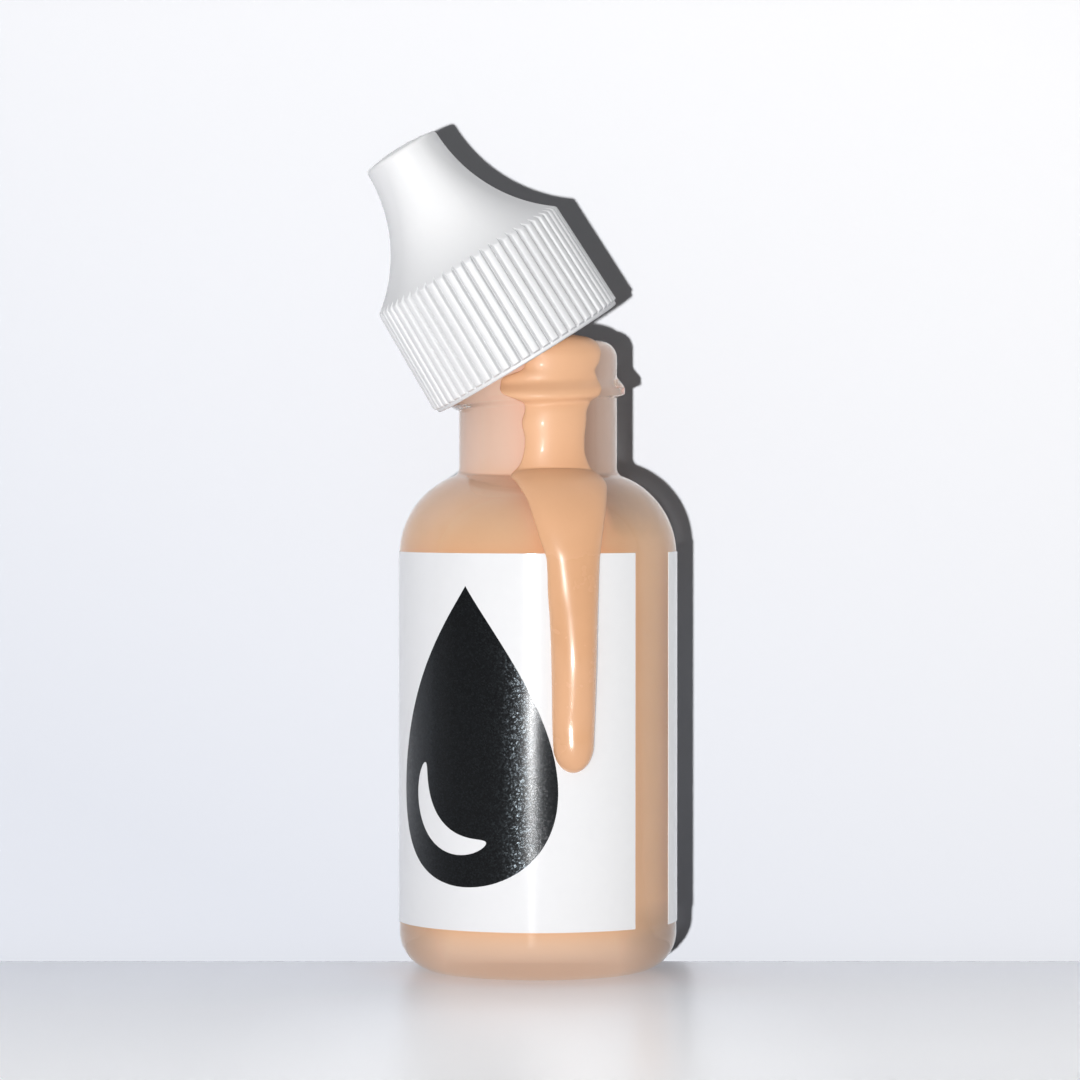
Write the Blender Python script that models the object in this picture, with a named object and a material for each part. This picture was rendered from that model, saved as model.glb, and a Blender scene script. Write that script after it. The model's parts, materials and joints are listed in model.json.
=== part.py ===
"""Foundation bottle: a 30 ml round glass dropper bottle with its screw cap set down askew on the neck.

Run it with: blender --background --python part.py
Metres, +Z up. The origin is the centre of the base. The front, where the label's mark goes, faces -Y.
Heights on the bottle are above its base. Heights in the cap are above its rim, along the cap's own axis.
"""

import math

import bmesh
import bpy
from mathutils import Matrix, Vector

MM = 0.001
GAP = 0.3 * MM  # kept between pieces that rest on or fill one another

# Glass bottle, outside
BODY_RADIUS = 16.5 * MM
HEEL_RADIUS = 4.7 * MM
SHOULDER_RADIUS = 10.0 * MM
SHOULDER_START = 49.5 * MM
NECK_RADIUS = 9.4 * MM
NECK_FILLET = 1.0 * MM
LIP_RADIUS = 2.0 * MM
BOTTLE_HEIGHT = 74.9 * MM
# Glass bottle, inside
WALL = 2.0 * MM
BASE_THICKNESS = 3.0 * MM
INNER_HEEL_RADIUS = 3.8 * MM
BORE_RADIUS = 6.6 * MM
BORE_FILLET = 1.0 * MM
BORE_CHAMFER = 0.3 * MM

# Screw thread: right-handed, eight threads to the inch
PITCH = 3.175 * MM
THREAD_CREST = 10.35 * MM
THREAD_HEIGHT_AT_RIGHT = 69.1 * MM  # height of the bead's middle at azimuth 0
THREAD_START, THREAD_END = math.radians(-320), math.radians(20)
THREAD_TAPER = math.radians(25)  # each end of the bead fades into the neck over this much turn
THREAD_END_SHARE = 0.05  # what is left of a thread's height at its very ends
THREAD_BURIED = 0.4 * MM  # how far a thread's root goes into its wall
BEAD_ABOVE, BEAD_BELOW = 1.6 * MM, 0.9 * MM  # the bead's foot, from its middle
BEAD_CREST_ABOVE, BEAD_CREST_BELOW = 0.34 * MM, 0.5 * MM

# Dropper insert, a press-in plug with a nozzle
PLUG_RADIUS = BORE_RADIUS - GAP
PLUG_BOTTOM = 66.0 * MM
PLUG_INNER_RADIUS = 5.0 * MM
DECK_HEIGHT = BOTTLE_HEIGHT - GAP
DECK_THICKNESS = 1.2 * MM
NOZZLE_BASE_RADIUS = 3.2 * MM
NOZZLE_TIP_RADIUS = 1.7 * MM
NOZZLE_TIP_HEIGHT, NOZZLE_TIP_INSET = 0.5 * MM, 0.4 * MM  # its bevelled tip
NOZZLE_TOP = 83.9 * MM
ORIFICE_RADIUS = 0.7 * MM
ORIFICE_LENGTH = 2.5 * MM

# Wrap-around label; angles are measured to the right of the front
LABEL_BOTTOM = 6.0 * MM
LABEL_TOP = 49.9 * MM
LABEL_CLEARANCE = 0.1 * MM
LABEL_THICKNESS = 0.15 * MM
LABEL_ENDS_RIGHT_OF_FRONT = math.radians(43.2)
LABEL_STARTS_RIGHT_OF_FRONT = math.radians(68.1)

# Foundation inside the bottle
FILL_TOP = PLUG_BOTTOM - 2 * GAP

# Cap
RIB_COUNT = 58
RIB_CREST_AT_RIM = 12.72 * MM
RIB_CREST_AT_TOP = 12.36 * MM
RIB_DEPTH = 0.33 * MM
RIM_RADIUS = 12.4 * MM
RIM_BAND = 0.73 * MM
RIM_ROUND = 0.25 * MM
RIB_START = 0.15 * MM  # the step from the smooth rim out to the ribs
RIB_SHAPE = ((0.0, 0.0), (0.52, 0.0), (0.70, 1.0), (0.82, 1.0))  # share of a rib's pitch, share of its depth
BAND_TOP = 13.6 * MM
NOSE_TOP_RADIUS = 4.75 * MM
NOSE_LENGTH = 15.0 * MM
NOSE_CURVE_RADIUS = 18.6 * MM
NOSE_EDGE_RADIUS = 0.6 * MM
NOSE_DOME = 0.4 * MM
CAP_BORE_RADIUS = 10.7 * MM
CAP_CEILING = 13.2 * MM
CAP_CEILING_FILLET = 0.9 * MM
NOSE_BORE_BASE_RADIUS = 4.2 * MM
NOSE_BORE_TIP_RADIUS = 2.6 * MM
NOSE_BORE_TOP = 26.5 * MM
CAP_THREAD_CREST = 9.75 * MM
CAP_THREAD_FOOT, CAP_THREAD_FLAT = 0.75 * MM, 0.35 * MM  # half its height at the wall and at its crest
CAP_THREAD_BELOW_BEAD = 1.6 * MM  # the cap's thread under the bottle's bead, screwed closed

# Sealing liner, a foam ring snapped in behind the cap's thread
LINER_RADIUS = 10.3 * MM
LINER_HOLE_RADIUS = NOSE_BORE_BASE_RADIUS
LINER_THICKNESS = 0.9 * MM
LINER_BOTTOM = CAP_CEILING - GAP - LINER_THICKNESS

# How the cap lies on the neck
CAP_PIVOT_HEIGHT = 70.8 * MM  # where the cap's axis crosses the bottle's
CAP_TILT = math.radians(31.66)
CAP_LEAN_AZIMUTH = math.radians(186.3)
RIM_ABOVE_PIVOT = 2.43 * MM

BOTTLE_SEGMENTS = 48
SMALL_SEGMENTS = 32
FRONT = math.radians(-90)
SHARP_ANGLE = math.radians(35)


# ---------------------------------------------------------------- mesh helpers


def clear_scene():
    for obj in list(bpy.data.objects):
        bpy.data.objects.remove(obj, do_unlink=True)


def principled(name, colour, roughness, transmission=0.0):
    made = bpy.data.materials.new(name)
    made.use_nodes = True
    made.diffuse_color = (*colour, 1.0)
    shader = made.node_tree.nodes["Principled BSDF"]
    shader.inputs["Base Color"].default_value = (*colour, 1.0)
    shader.inputs["Roughness"].default_value = roughness
    shader.inputs["Metallic"].default_value = 0.0
    shader.inputs["Transmission Weight"].default_value = transmission
    return made


def add_object(name, bm, material=None):
    """Closes the mesh's normals outwards, shades it smooth and puts it in the scene."""
    bmesh.ops.recalc_face_normals(bm, faces=bm.faces)
    mesh = bpy.data.meshes.new(name)
    bm.to_mesh(mesh)
    bm.free()
    mesh.shade_smooth()
    mesh.set_sharp_from_angle(angle=SHARP_ANGLE)
    if material:
        mesh.materials.append(material)
    obj = bpy.data.objects.new(name, mesh)
    bpy.context.scene.collection.objects.link(obj)
    return obj


def weld_on(body, addition):
    """Unions a helper solid onto a body and keeps the helper out of the render."""
    modifier = body.modifiers.new(addition.name, "BOOLEAN")
    modifier.operation = "UNION"
    modifier.solver = "EXACT"
    modifier.object = addition
    addition.hide_render = True
    addition.display_type = "WIRE"
    addition.parent = body.parent


def arc(centre, radius, start_deg, end_deg, steps):
    """Points (r, z) along an arc, both ends included."""
    points = []
    for i in range(steps + 1):
        angle = math.radians(start_deg + (end_deg - start_deg) * i / steps)
        points.append((centre[0] + radius * math.cos(angle), centre[1] + radius * math.sin(angle)))
    return points


def polar(radius, angle, height):
    return Vector((radius * math.cos(angle), radius * math.sin(angle), height))


def ring(bm, radius, height, segments):
    """A ring of vertices about Z, or the one vertex where the radius is zero."""
    if radius == 0:
        return [bm.verts.new((0, 0, height))]
    return [bm.verts.new(polar(radius, math.tau * i / segments, height)) for i in range(segments)]


def bridge(bm, first, second):
    """Faces between two closed rings; the finer one has a whole multiple of the coarser one's vertices."""
    if len(first) > len(second):
        first, second = second, first
    count = len(first)
    times = len(second) // count
    for i in range(len(second)):
        near = first[(i // times) % count]
        a, b = second[i], second[(i + 1) % len(second)]
        far = first[((i + 1) // times) % count]
        corners = [near, a, b] if near is far else [near, a, b, far]
        bm.faces.new(corners)


def turned(profile, segments):
    """A solid turned about Z. A profile that ends on the axis is capped there, and any other is a loop."""
    bm = bmesh.new()
    rings = [ring(bm, r, z, segments) for r, z in profile]
    for first, second in zip(rings, rings[1:]):
        bridge(bm, first, second)
    if len(rings[0]) > 1:
        bridge(bm, rings[-1], rings[0])
    return bm


def loft(bm, sections):
    """Skins closed sections that have equally many points, and fills both ends."""
    loops = [[bm.verts.new(point) for point in section] for section in sections]
    count = len(loops[0])
    for first, second in zip(loops, loops[1:]):
        for i in range(count):
            j = (i + 1) % count
            bm.faces.new((first[i], first[j], second[j], second[i]))
    bm.faces.new(loops[0])
    bm.faces.new(loops[-1])


def thread_solid(name, section, height_at_zero, stations=60):
    """A helical ridge of (radius, height) corners; each end shrinks into the wall that it grows from."""
    root = section[0][0]
    sections = []
    for k in range(stations + 1):
        angle = THREAD_START + (THREAD_END - THREAD_START) * k / stations
        fade = min(1.0, (angle - THREAD_START) / THREAD_TAPER, (THREAD_END - angle) / THREAD_TAPER)
        fade = THREAD_END_SHARE + (1 - THREAD_END_SHARE) * fade
        middle = height_at_zero + PITCH * angle / math.tau
        sections.append([polar(root + (r - root) * fade, angle, middle + z) for r, z in section])
    bm = bmesh.new()
    loft(bm, sections)
    return add_object(name, bm)


# ---------------------------------------------------------------- bottle


def neck_joint():
    """Centre of the fillet between shoulder and neck, and the angle at which the shoulder reaches it."""
    centre_r = NECK_RADIUS + NECK_FILLET
    shoulder_r = BODY_RADIUS - SHOULDER_RADIUS
    reach = SHOULDER_RADIUS + NECK_FILLET
    angle = math.acos((centre_r - shoulder_r) / reach)
    return (centre_r, SHOULDER_START + reach * math.sin(angle)), math.degrees(angle)


def outer_profile():
    heel = (BODY_RADIUS - HEEL_RADIUS, HEEL_RADIUS)
    shoulder = (BODY_RADIUS - SHOULDER_RADIUS, SHOULDER_START)
    fillet, meet = neck_joint()
    lip = (NECK_RADIUS - LIP_RADIUS, BOTTLE_HEIGHT - LIP_RADIUS)
    return (
        [(0, 0)]
        + arc(heel, HEEL_RADIUS, -90, 0, 5)
        + arc(shoulder, SHOULDER_RADIUS, 0, meet, 7)
        + arc(fillet, NECK_FILLET, 180 + meet, 180, 2)[1:]
        + arc(lip, LIP_RADIUS, 0, 90, 3)
    )


def inner_profile(inset=0.0):
    """The inside wall from the bore down to the axis, moved inwards by inset."""
    radius = BODY_RADIUS - WALL - inset
    shoulder = (BODY_RADIUS - SHOULDER_RADIUS, SHOULDER_START)
    shoulder_radius = SHOULDER_RADIUS - WALL - inset
    bore = BORE_RADIUS - inset
    fillet = BORE_FILLET + inset
    reach = shoulder_radius + fillet
    meet = math.degrees(math.acos((bore + fillet - shoulder[0]) / reach))
    fillet_centre = (bore + fillet, shoulder[1] + reach * math.sin(math.radians(meet)))
    heel_radius = INNER_HEEL_RADIUS - inset
    floor = BASE_THICKNESS + inset
    heel = (radius - heel_radius, floor + heel_radius)
    return (
        arc(fillet_centre, fillet, 180, 180 + meet, 2)[:-1]
        + arc(shoulder, shoulder_radius, meet, 0, 6)
        + arc(heel, heel_radius, 0, -90, 4)
        + [(0, floor)]
    )


def make_glass_bottle(material):
    mouth = [(BORE_RADIUS + BORE_CHAMFER, BOTTLE_HEIGHT), (BORE_RADIUS, BOTTLE_HEIGHT - BORE_CHAMFER)]
    profile = outer_profile() + mouth + inner_profile()
    bottle = add_object("glass_bottle", turned(profile, BOTTLE_SEGMENTS), material)
    buried = NECK_RADIUS - THREAD_BURIED
    bead = [
        (buried, BEAD_ABOVE),
        (NECK_RADIUS, BEAD_ABOVE),
        (THREAD_CREST, BEAD_CREST_ABOVE),
        (THREAD_CREST, -BEAD_CREST_BELOW),
        (NECK_RADIUS, -BEAD_BELOW),
        (buried, -BEAD_BELOW),
    ]
    weld_on(bottle, thread_solid("bottle_thread", bead, THREAD_HEIGHT_AT_RIGHT))


def make_foundation_fill(material):
    profile = [(0, FILL_TOP), (BORE_RADIUS - GAP, FILL_TOP)] + inner_profile(GAP)
    add_object("foundation_fill", turned(profile, BOTTLE_SEGMENTS), material)


def make_dropper_insert(material):
    nozzle_inner = NOZZLE_BASE_RADIUS - DECK_THICKNESS
    profile = [
        (PLUG_RADIUS, PLUG_BOTTOM + BORE_CHAMFER),
        (PLUG_RADIUS, DECK_HEIGHT),
        (NOZZLE_BASE_RADIUS, DECK_HEIGHT),
        (NOZZLE_TIP_RADIUS, NOZZLE_TOP - NOZZLE_TIP_HEIGHT),
        (NOZZLE_TIP_RADIUS - NOZZLE_TIP_INSET, NOZZLE_TOP),
        (ORIFICE_RADIUS, NOZZLE_TOP),
        (ORIFICE_RADIUS, NOZZLE_TOP - ORIFICE_LENGTH),
        (nozzle_inner, DECK_HEIGHT),
        (nozzle_inner, DECK_HEIGHT - DECK_THICKNESS),
        (PLUG_INNER_RADIUS, DECK_HEIGHT - DECK_THICKNESS),
        (PLUG_INNER_RADIUS, PLUG_BOTTOM),
        (PLUG_RADIUS - BORE_CHAMFER, PLUG_BOTTOM),
    ]
    add_object("dropper_insert", turned(profile, SMALL_SEGMENTS), material)


def make_wrap_label(material):
    inner = BODY_RADIUS + LABEL_CLEARANCE
    outer = inner + LABEL_THICKNESS
    start = FRONT + LABEL_STARTS_RIGHT_OF_FRONT
    end = FRONT + LABEL_ENDS_RIGHT_OF_FRONT + math.tau
    corners = ((inner, LABEL_BOTTOM), (outer, LABEL_BOTTOM), (outer, LABEL_TOP), (inner, LABEL_TOP))
    sections = []
    for k in range(BOTTLE_SEGMENTS + 1):
        angle = start + (end - start) * k / BOTTLE_SEGMENTS
        sections.append([polar(r, angle, z) for r, z in corners])
    bm = bmesh.new()
    loft(bm, sections)
    add_object("wrap_label", bm, material)


# ---------------------------------------------------------------- spilt foundation


def drip_rows():
    """The spill from the mouth to its tip, a row at a time: radius and height on its underside, the degrees
    by which its normal stands above level, left and right edge in degrees right of the front, thickness."""
    lip = (NECK_RADIUS - LIP_RADIUS, BOTTLE_HEIGHT - LIP_RADIUS)
    lip_reach = LIP_RADIUS + GAP
    shoulder = (BODY_RADIUS - SHOULDER_RADIUS, SHOULDER_START)
    shoulder_reach = SHOULDER_RADIUS + GAP
    neck = NECK_RADIUS + GAP
    bead = THREAD_CREST + GAP
    body = BODY_RADIUS + LABEL_CLEARANCE + LABEL_THICKNESS + LABEL_CLEARANCE
    top = BOTTLE_HEIGHT + GAP

    def on_arc(centre, reach, slope, left, right, thickness):
        angle = math.radians(slope)
        place = (centre[0] + reach * math.cos(angle), centre[1] + reach * math.sin(angle))
        return (*place, slope, left, right, thickness * MM)

    return [
        (NOZZLE_BASE_RADIUS + GAP, top, 90, -62, 58, 0.7 * MM),
        (6.0 * MM, top, 90, -60, 54, 0.7 * MM),
        on_arc(lip, lip_reach, 89, -56, 50, 0.6),
        on_arc(lip, lip_reach, 45, -41, 51, 0.6),
        on_arc(lip, lip_reach, 22, -34, 51, 0.6),
        on_arc(lip, lip_reach, 1, -26, 51, 0.6),
        (neck, 70.9 * MM, 0, -18, 50.5, 0.6 * MM),
        (bead, 69.4 * MM, 0, -27, 48, 0.5 * MM),
        (bead, 67.7 * MM, 0, -20, 44, 0.7 * MM),
        (neck, 66.7 * MM, 0, -9.5, 39, 0.9 * MM),
        (neck, 64.0 * MM, 0, -9.5, 35.6, 0.9 * MM),
        (neck, 61.0 * MM, 0, -12, 38, 0.9 * MM),
        on_arc(shoulder, shoulder_reach, 68, -17, 46, 1.0),
        on_arc(shoulder, shoulder_reach, 52, -10, 41, 1.2),
        on_arc(shoulder, shoulder_reach, 30, -2.5, 31.5, 1.3),
        on_arc(shoulder, shoulder_reach, 12, 1.5, 28, 1.4),
        (body, 49.6 * MM, 0, 3, 26.5, 1.5 * MM),
        (body, 42.0 * MM, 0, 4.6, 25.4, 2.0 * MM),
        (body, 33.0 * MM, 0, 5.2, 24.8, 2.0 * MM),
        (body, 28.5 * MM, 0, 5.6, 24.6, 2.0 * MM),
        (body, 26.3 * MM, 0, 7.4, 23.2, 1.7 * MM),
        (body, 25.0 * MM, 0, 10.6, 20.4, 0.9 * MM),
    ]


def make_foundation_drip(material, steps=8):
    sections = []
    for radius, height, slope, left, right, thickness in drip_rows():
        out, up = math.cos(math.radians(slope)), math.sin(math.radians(slope))
        under, over = [], []
        for i in range(steps + 1):
            across = 2 * i / steps - 1
            angle = FRONT + math.radians(left + (right - left) * i / steps)
            under.append(polar(radius, angle, height))
            if abs(across) < 1:
                depth = thickness * math.sqrt(1 - across**2)
                over.append(polar(radius + depth * out, angle, height + depth * up))
        sections.append(under + over[::-1])
    bm = bmesh.new()
    loft(bm, sections)
    add_object("foundation_drip", bm, material)


# ---------------------------------------------------------------- cap


def cap_empty():
    """The cap's axis: an empty at the centre of the rim, its Z along the way the cap lifts."""
    turn = Matrix.Rotation(CAP_LEAN_AZIMUTH, 4, "Z") @ Matrix.Rotation(CAP_TILT, 4, "Y")
    along = turn @ Vector((0, 0, RIM_ABOVE_PIVOT))
    empty = bpy.data.objects.new("cap_axis", None)
    empty.matrix_world = Matrix.Translation(Vector((0, 0, CAP_PIVOT_HEIGHT)) + along) @ turn
    bpy.context.scene.collection.objects.link(empty)
    return empty


def rib_ring(bm, crest, height):
    """One ring of the ribbed band: two vertices on each rib's crest and two in the groove after it."""
    verts = []
    for k in range(RIB_COUNT):
        for along, sunk in RIB_SHAPE:
            angle = math.tau * (k + along) / RIB_COUNT
            verts.append(bm.verts.new(polar(crest - sunk * RIB_DEPTH, angle, height)))
    return verts


def nose_radius(above_band):
    drop = NOSE_LENGTH - above_band
    return NOSE_TOP_RADIUS + NOSE_CURVE_RADIUS - math.sqrt(NOSE_CURVE_RADIUS**2 - drop**2)


def make_cap_shell(material, axis):
    bm = bmesh.new()
    nose_steps = 7
    scallop = 0.3 * MM
    top_edge = (NOSE_TOP_RADIUS - NOSE_EDGE_RADIUS, BAND_TOP + NOSE_LENGTH - NOSE_EDGE_RADIUS / 2)
    ceiling = (CAP_BORE_RADIUS - CAP_CEILING_FILLET, CAP_CEILING - CAP_CEILING_FILLET)

    outside = [
        ring(bm, RIM_RADIUS - RIM_ROUND, 0, RIB_COUNT),
        ring(bm, RIM_RADIUS, RIM_ROUND, RIB_COUNT),
        ring(bm, RIM_RADIUS, RIM_BAND, RIB_COUNT),
        rib_ring(bm, RIB_CREST_AT_RIM, RIM_BAND + RIB_START),
        rib_ring(bm, RIB_CREST_AT_TOP, BAND_TOP),
    ]
    for k in range(nose_steps):
        height = scallop + (NOSE_LENGTH - scallop) * (k / nose_steps) ** 1.15
        outside.append(ring(bm, nose_radius(height), BAND_TOP + height, RIB_COUNT))
    for r, z in arc(top_edge, NOSE_EDGE_RADIUS, 5, 80, 2):
        outside.append(ring(bm, r, z, RIB_COUNT))
    outside.append(ring(bm, 0, top_edge[1] + NOSE_EDGE_RADIUS + NOSE_DOME, RIB_COUNT))

    inside = [ring(bm, CAP_BORE_RADIUS + RIM_ROUND, 0, RIB_COUNT)]
    inside.append(ring(bm, CAP_BORE_RADIUS, RIM_ROUND, RIB_COUNT))
    for r, z in arc(ceiling, CAP_CEILING_FILLET, 0, 90, 2):
        inside.append(ring(bm, r, z, RIB_COUNT))
    inside.append(ring(bm, NOSE_BORE_BASE_RADIUS, CAP_CEILING, RIB_COUNT))
    inside.append(ring(bm, NOSE_BORE_TIP_RADIUS, NOSE_BORE_TOP, RIB_COUNT))
    inside.append(ring(bm, 0, NOSE_BORE_TOP + 0.5 * MM, RIB_COUNT))

    for rings in (outside, inside):
        for first, second in zip(rings, rings[1:]):
            bridge(bm, first, second)
    bridge(bm, outside[0], inside[0])
    shell = add_object("cap_shell", bm, material)
    shell.parent = axis

    buried = CAP_BORE_RADIUS + THREAD_BURIED
    ridge = [
        (buried, -CAP_THREAD_FOOT),
        (CAP_BORE_RADIUS, -CAP_THREAD_FOOT),
        (CAP_THREAD_CREST, -CAP_THREAD_FLAT),
        (CAP_THREAD_CREST, CAP_THREAD_FLAT),
        (CAP_BORE_RADIUS, CAP_THREAD_FOOT),
        (buried, CAP_THREAD_FOOT),
    ]
    closed_rim_height = BOTTLE_HEIGHT - LINER_BOTTOM
    middle = THREAD_HEIGHT_AT_RIGHT - CAP_THREAD_BELOW_BEAD - closed_rim_height
    weld_on(shell, thread_solid("cap_thread", ridge, middle))


def make_cap_liner(material, axis):
    top = LINER_BOTTOM + LINER_THICKNESS
    profile = [
        (LINER_HOLE_RADIUS, LINER_BOTTOM),
        (LINER_RADIUS, LINER_BOTTOM),
        (LINER_RADIUS, top),
        (LINER_HOLE_RADIUS, top),
    ]
    liner = add_object("cap_liner", turned(profile, BOTTLE_SEGMENTS), material)
    liner.parent = axis


def main():
    clear_scene()
    glass = principled("clear_glass", (0.92, 0.94, 0.93), 0.03, transmission=1.0)
    foundation = principled("foundation", (0.80, 0.52, 0.32), 0.25)
    paper = principled("label_film", (0.88, 0.88, 0.90), 0.35)
    polypropylene = principled("white_polypropylene", (0.86, 0.86, 0.87), 0.38)
    polyethylene = principled("natural_polyethylene", (0.82, 0.83, 0.82), 0.45)
    foam = principled("liner_foam", (0.80, 0.79, 0.76), 0.8)

    make_glass_bottle(glass)
    make_foundation_fill(foundation)
    make_dropper_insert(polyethylene)
    make_wrap_label(paper)
    make_foundation_drip(foundation)
    axis = cap_empty()
    make_cap_shell(polypropylene, axis)
    make_cap_liner(foam, axis)


main()
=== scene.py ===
"""Looks for the foundation bottle: fine meshes, materials, floor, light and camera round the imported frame.

Metres, +Z up, and the bottle's front faces -Y. A bearing is an angle to the right of the front, in degrees.
Heights on the bottle are above its base. Heights in the cap are above its rim, along the cap's own axis.
"""

import json
import math

import bpy
import numpy as np
from mathutils import Matrix, Vector
from mathutils.geometry import delaunay_2d_cdt


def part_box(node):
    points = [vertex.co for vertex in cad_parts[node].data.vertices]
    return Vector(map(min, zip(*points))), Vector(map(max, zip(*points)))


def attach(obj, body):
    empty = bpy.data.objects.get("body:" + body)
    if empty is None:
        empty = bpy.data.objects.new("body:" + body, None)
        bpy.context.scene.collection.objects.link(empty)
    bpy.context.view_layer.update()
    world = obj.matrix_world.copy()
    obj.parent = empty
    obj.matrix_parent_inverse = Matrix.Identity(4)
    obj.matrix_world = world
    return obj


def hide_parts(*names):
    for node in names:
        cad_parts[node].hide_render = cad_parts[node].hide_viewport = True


MM = 0.001

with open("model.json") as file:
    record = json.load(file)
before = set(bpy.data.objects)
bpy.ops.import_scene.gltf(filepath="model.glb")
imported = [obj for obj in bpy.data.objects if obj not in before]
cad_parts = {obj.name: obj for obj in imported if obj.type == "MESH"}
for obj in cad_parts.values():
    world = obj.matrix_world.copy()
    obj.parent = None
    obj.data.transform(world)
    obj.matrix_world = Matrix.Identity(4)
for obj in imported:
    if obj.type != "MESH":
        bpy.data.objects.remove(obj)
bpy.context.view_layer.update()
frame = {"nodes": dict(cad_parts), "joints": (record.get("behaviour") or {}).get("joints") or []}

# Driving sizes, read from the frame
BOTTLE_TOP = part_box("glass_bottle")[1]
BODY_RADIUS = BOTTLE_TOP.x
BOTTLE_HEIGHT = BOTTLE_TOP.z
LABEL_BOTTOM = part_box("wrap_label")[0].z
LABEL_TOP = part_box("wrap_label")[1].z
NOZZLE_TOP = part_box("dropper_insert")[1].z
PLUG_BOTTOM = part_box("dropper_insert")[0].z
PLUG_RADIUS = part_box("dropper_insert")[1].x

# Glass bottle
HEEL_RADIUS = 4.7 * MM
SHOULDER_RADIUS = 10.0 * MM
SHOULDER_START = 49.5 * MM
NECK_RADIUS = 9.4 * MM
NECK_FILLET = 1.0 * MM
LIP_RADIUS = 2.0 * MM
WALL = 2.0 * MM
BASE_THICKNESS = 3.0 * MM
INNER_HEEL_RADIUS = 3.8 * MM
BORE_RADIUS = 6.6 * MM
BORE_EDGE = 0.3 * MM
BORE_FILLET = 1.0 * MM
BOTTLE_COLUMNS = 192
LONG_STEP = 1.0 * MM  # no straight stretch of a profile is left longer than this

# Dropper plug
PLUG_WALL = 1.2 * MM
DECK_WALL = 1.1 * MM
DECK_BELOW_MOUTH = 0.3 * MM
NOZZLE_FOOT_RADIUS, NOZZLE_FOOT_FILLET = 3.2 * MM, 0.8 * MM
NOZZLE_TIP_RADIUS, NOZZLE_TIP_EDGE = 1.7 * MM, 0.35 * MM
ORIFICE_RADIUS, ORIFICE_LENGTH = 0.7 * MM, 2.5 * MM
NOZZLE_BORE_RADIUS = 2.0 * MM

# Screw thread on the neck
PITCH = 3.175 * MM
THREAD_CREST = 10.35 * MM
THREAD_MIDDLE = 69.1 * MM  # at azimuth 0
THREAD_START, THREAD_END = -320.0, 20.0
THREAD_TAPER = 25.0
BEAD_TOP = 0.30 * MM, 1.62 * MM  # its upper flank, from the bead's middle
BEAD_UNDERSIDE = -0.92 * MM, -0.48 * MM
THREAD_ZONE = 61 * MM, 73 * MM
FINE_STEP = 0.11 * MM

# Label film
FILM_GAP = 0.015 * MM
FILM_THICKNESS = 0.085 * MM
LABEL_ENDS, LABEL_STARTS = 43.2, 68.1  # bearings of its right and left ends
LABEL_COLUMNS = 240

# Cap
RIB_COUNT = 58
RIB_CREST_AT_RIM = 12.72 * MM
RIB_CREST_AT_TOP = 12.36 * MM
RIB_DEPTH = 0.48 * MM
RIB_CROWN = 0.17 * MM
GROOVE_SIDE = 0.015, 0.19  # where a groove's side starts and ends, as shares of a rib's pitch
RIB_END_ROUNDING = 0.24 * MM
RIM_RADIUS = 12.4 * MM
RIM_BAND = 0.5 * MM
BAND_TOP = 13.6 * MM
NOSE_TOP_RADIUS = 4.75 * MM
NOSE_LENGTH = 15.0 * MM
NOSE_CURVE_RADIUS = 18.6 * MM
NOSE_EDGE_RADIUS = 0.6 * MM
NOSE_DOME = 0.4 * MM
CAP_BORE_RADIUS = 10.7 * MM
CAP_CEILING = 13.2 * MM
CAP_THREAD_CREST = 9.75 * MM
CAP_THREAD_MIDDLE = 4.6 * MM
CAP_THREAD_FLANK = 0.32 * MM, 0.8 * MM
CAP_THREAD_ZONE = 0.5 * MM, 6.6 * MM
CAP_CEILING_FILLET = 0.9 * MM
NOSE_BORE_BASE, NOSE_BORE_TIP, NOSE_BORE_TOP = 4.2 * MM, 2.6 * MM, 26.5 * MM
LINER_INNER, LINER_OUTER = 4.2 * MM, 10.3 * MM
LINER_BOTTOM, LINER_TOP = 12.0 * MM, 12.9 * MM


# ---------------------------------------------------------------- mesh helpers


def smoothstep(low, high, x):
    t = np.clip((x - low) / (high - low), 0.0, 1.0)
    return t * t * (3 - 2 * t)


def ramp_down(low, high, x):
    """A straight fall from 1 to 0 with its corners just rounded."""
    t = np.clip((high - x) / (high - low), 0.0, 1.0)
    return 0.7 * t + 0.3 * t * t * (3 - 2 * t)


def arc(centre, radius, start_deg, end_deg, steps):
    """Points (r, z) along an arc, both ends included."""
    angles = np.radians(np.linspace(start_deg, end_deg, steps + 1))
    return [(centre[0] + radius * math.cos(a), centre[1] + radius * math.sin(a)) for a in angles]


def densified(profile, longest):
    """The profile with its long straight stretches cut into steps no longer than this."""
    points = [profile[0]]
    for end in profile[1:]:
        start = points[-1]
        count = max(1, math.ceil(math.dist(start, end) / longest - 1e-6))
        for k in range(1, count + 1):
            share = k / count
            r = start[0] + (end[0] - start[0]) * share
            z = start[1] + (end[1] - start[1]) * share
            points.append((r, z))
    return points


def polar(radius, angle, height):
    radius, angle, height = np.broadcast_arrays(radius, angle, height)
    return np.stack((radius * np.cos(angle), radius * np.sin(angle), height), axis=-1)


def even_angles(count):
    return np.arange(count) * math.tau / count


def add_piece(name, points, faces, body, material, sharp_deg=None):
    mesh = bpy.data.meshes.new(name)
    mesh.from_pydata([tuple(p) for p in points], [], faces)
    mesh.shade_smooth()
    if sharp_deg:
        mesh.set_sharp_from_angle(angle=math.radians(sharp_deg))
    mesh.materials.append(material)
    piece = bpy.data.objects.new(name, mesh)
    bpy.context.scene.collection.objects.link(piece)
    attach(piece, body)
    return piece


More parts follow.
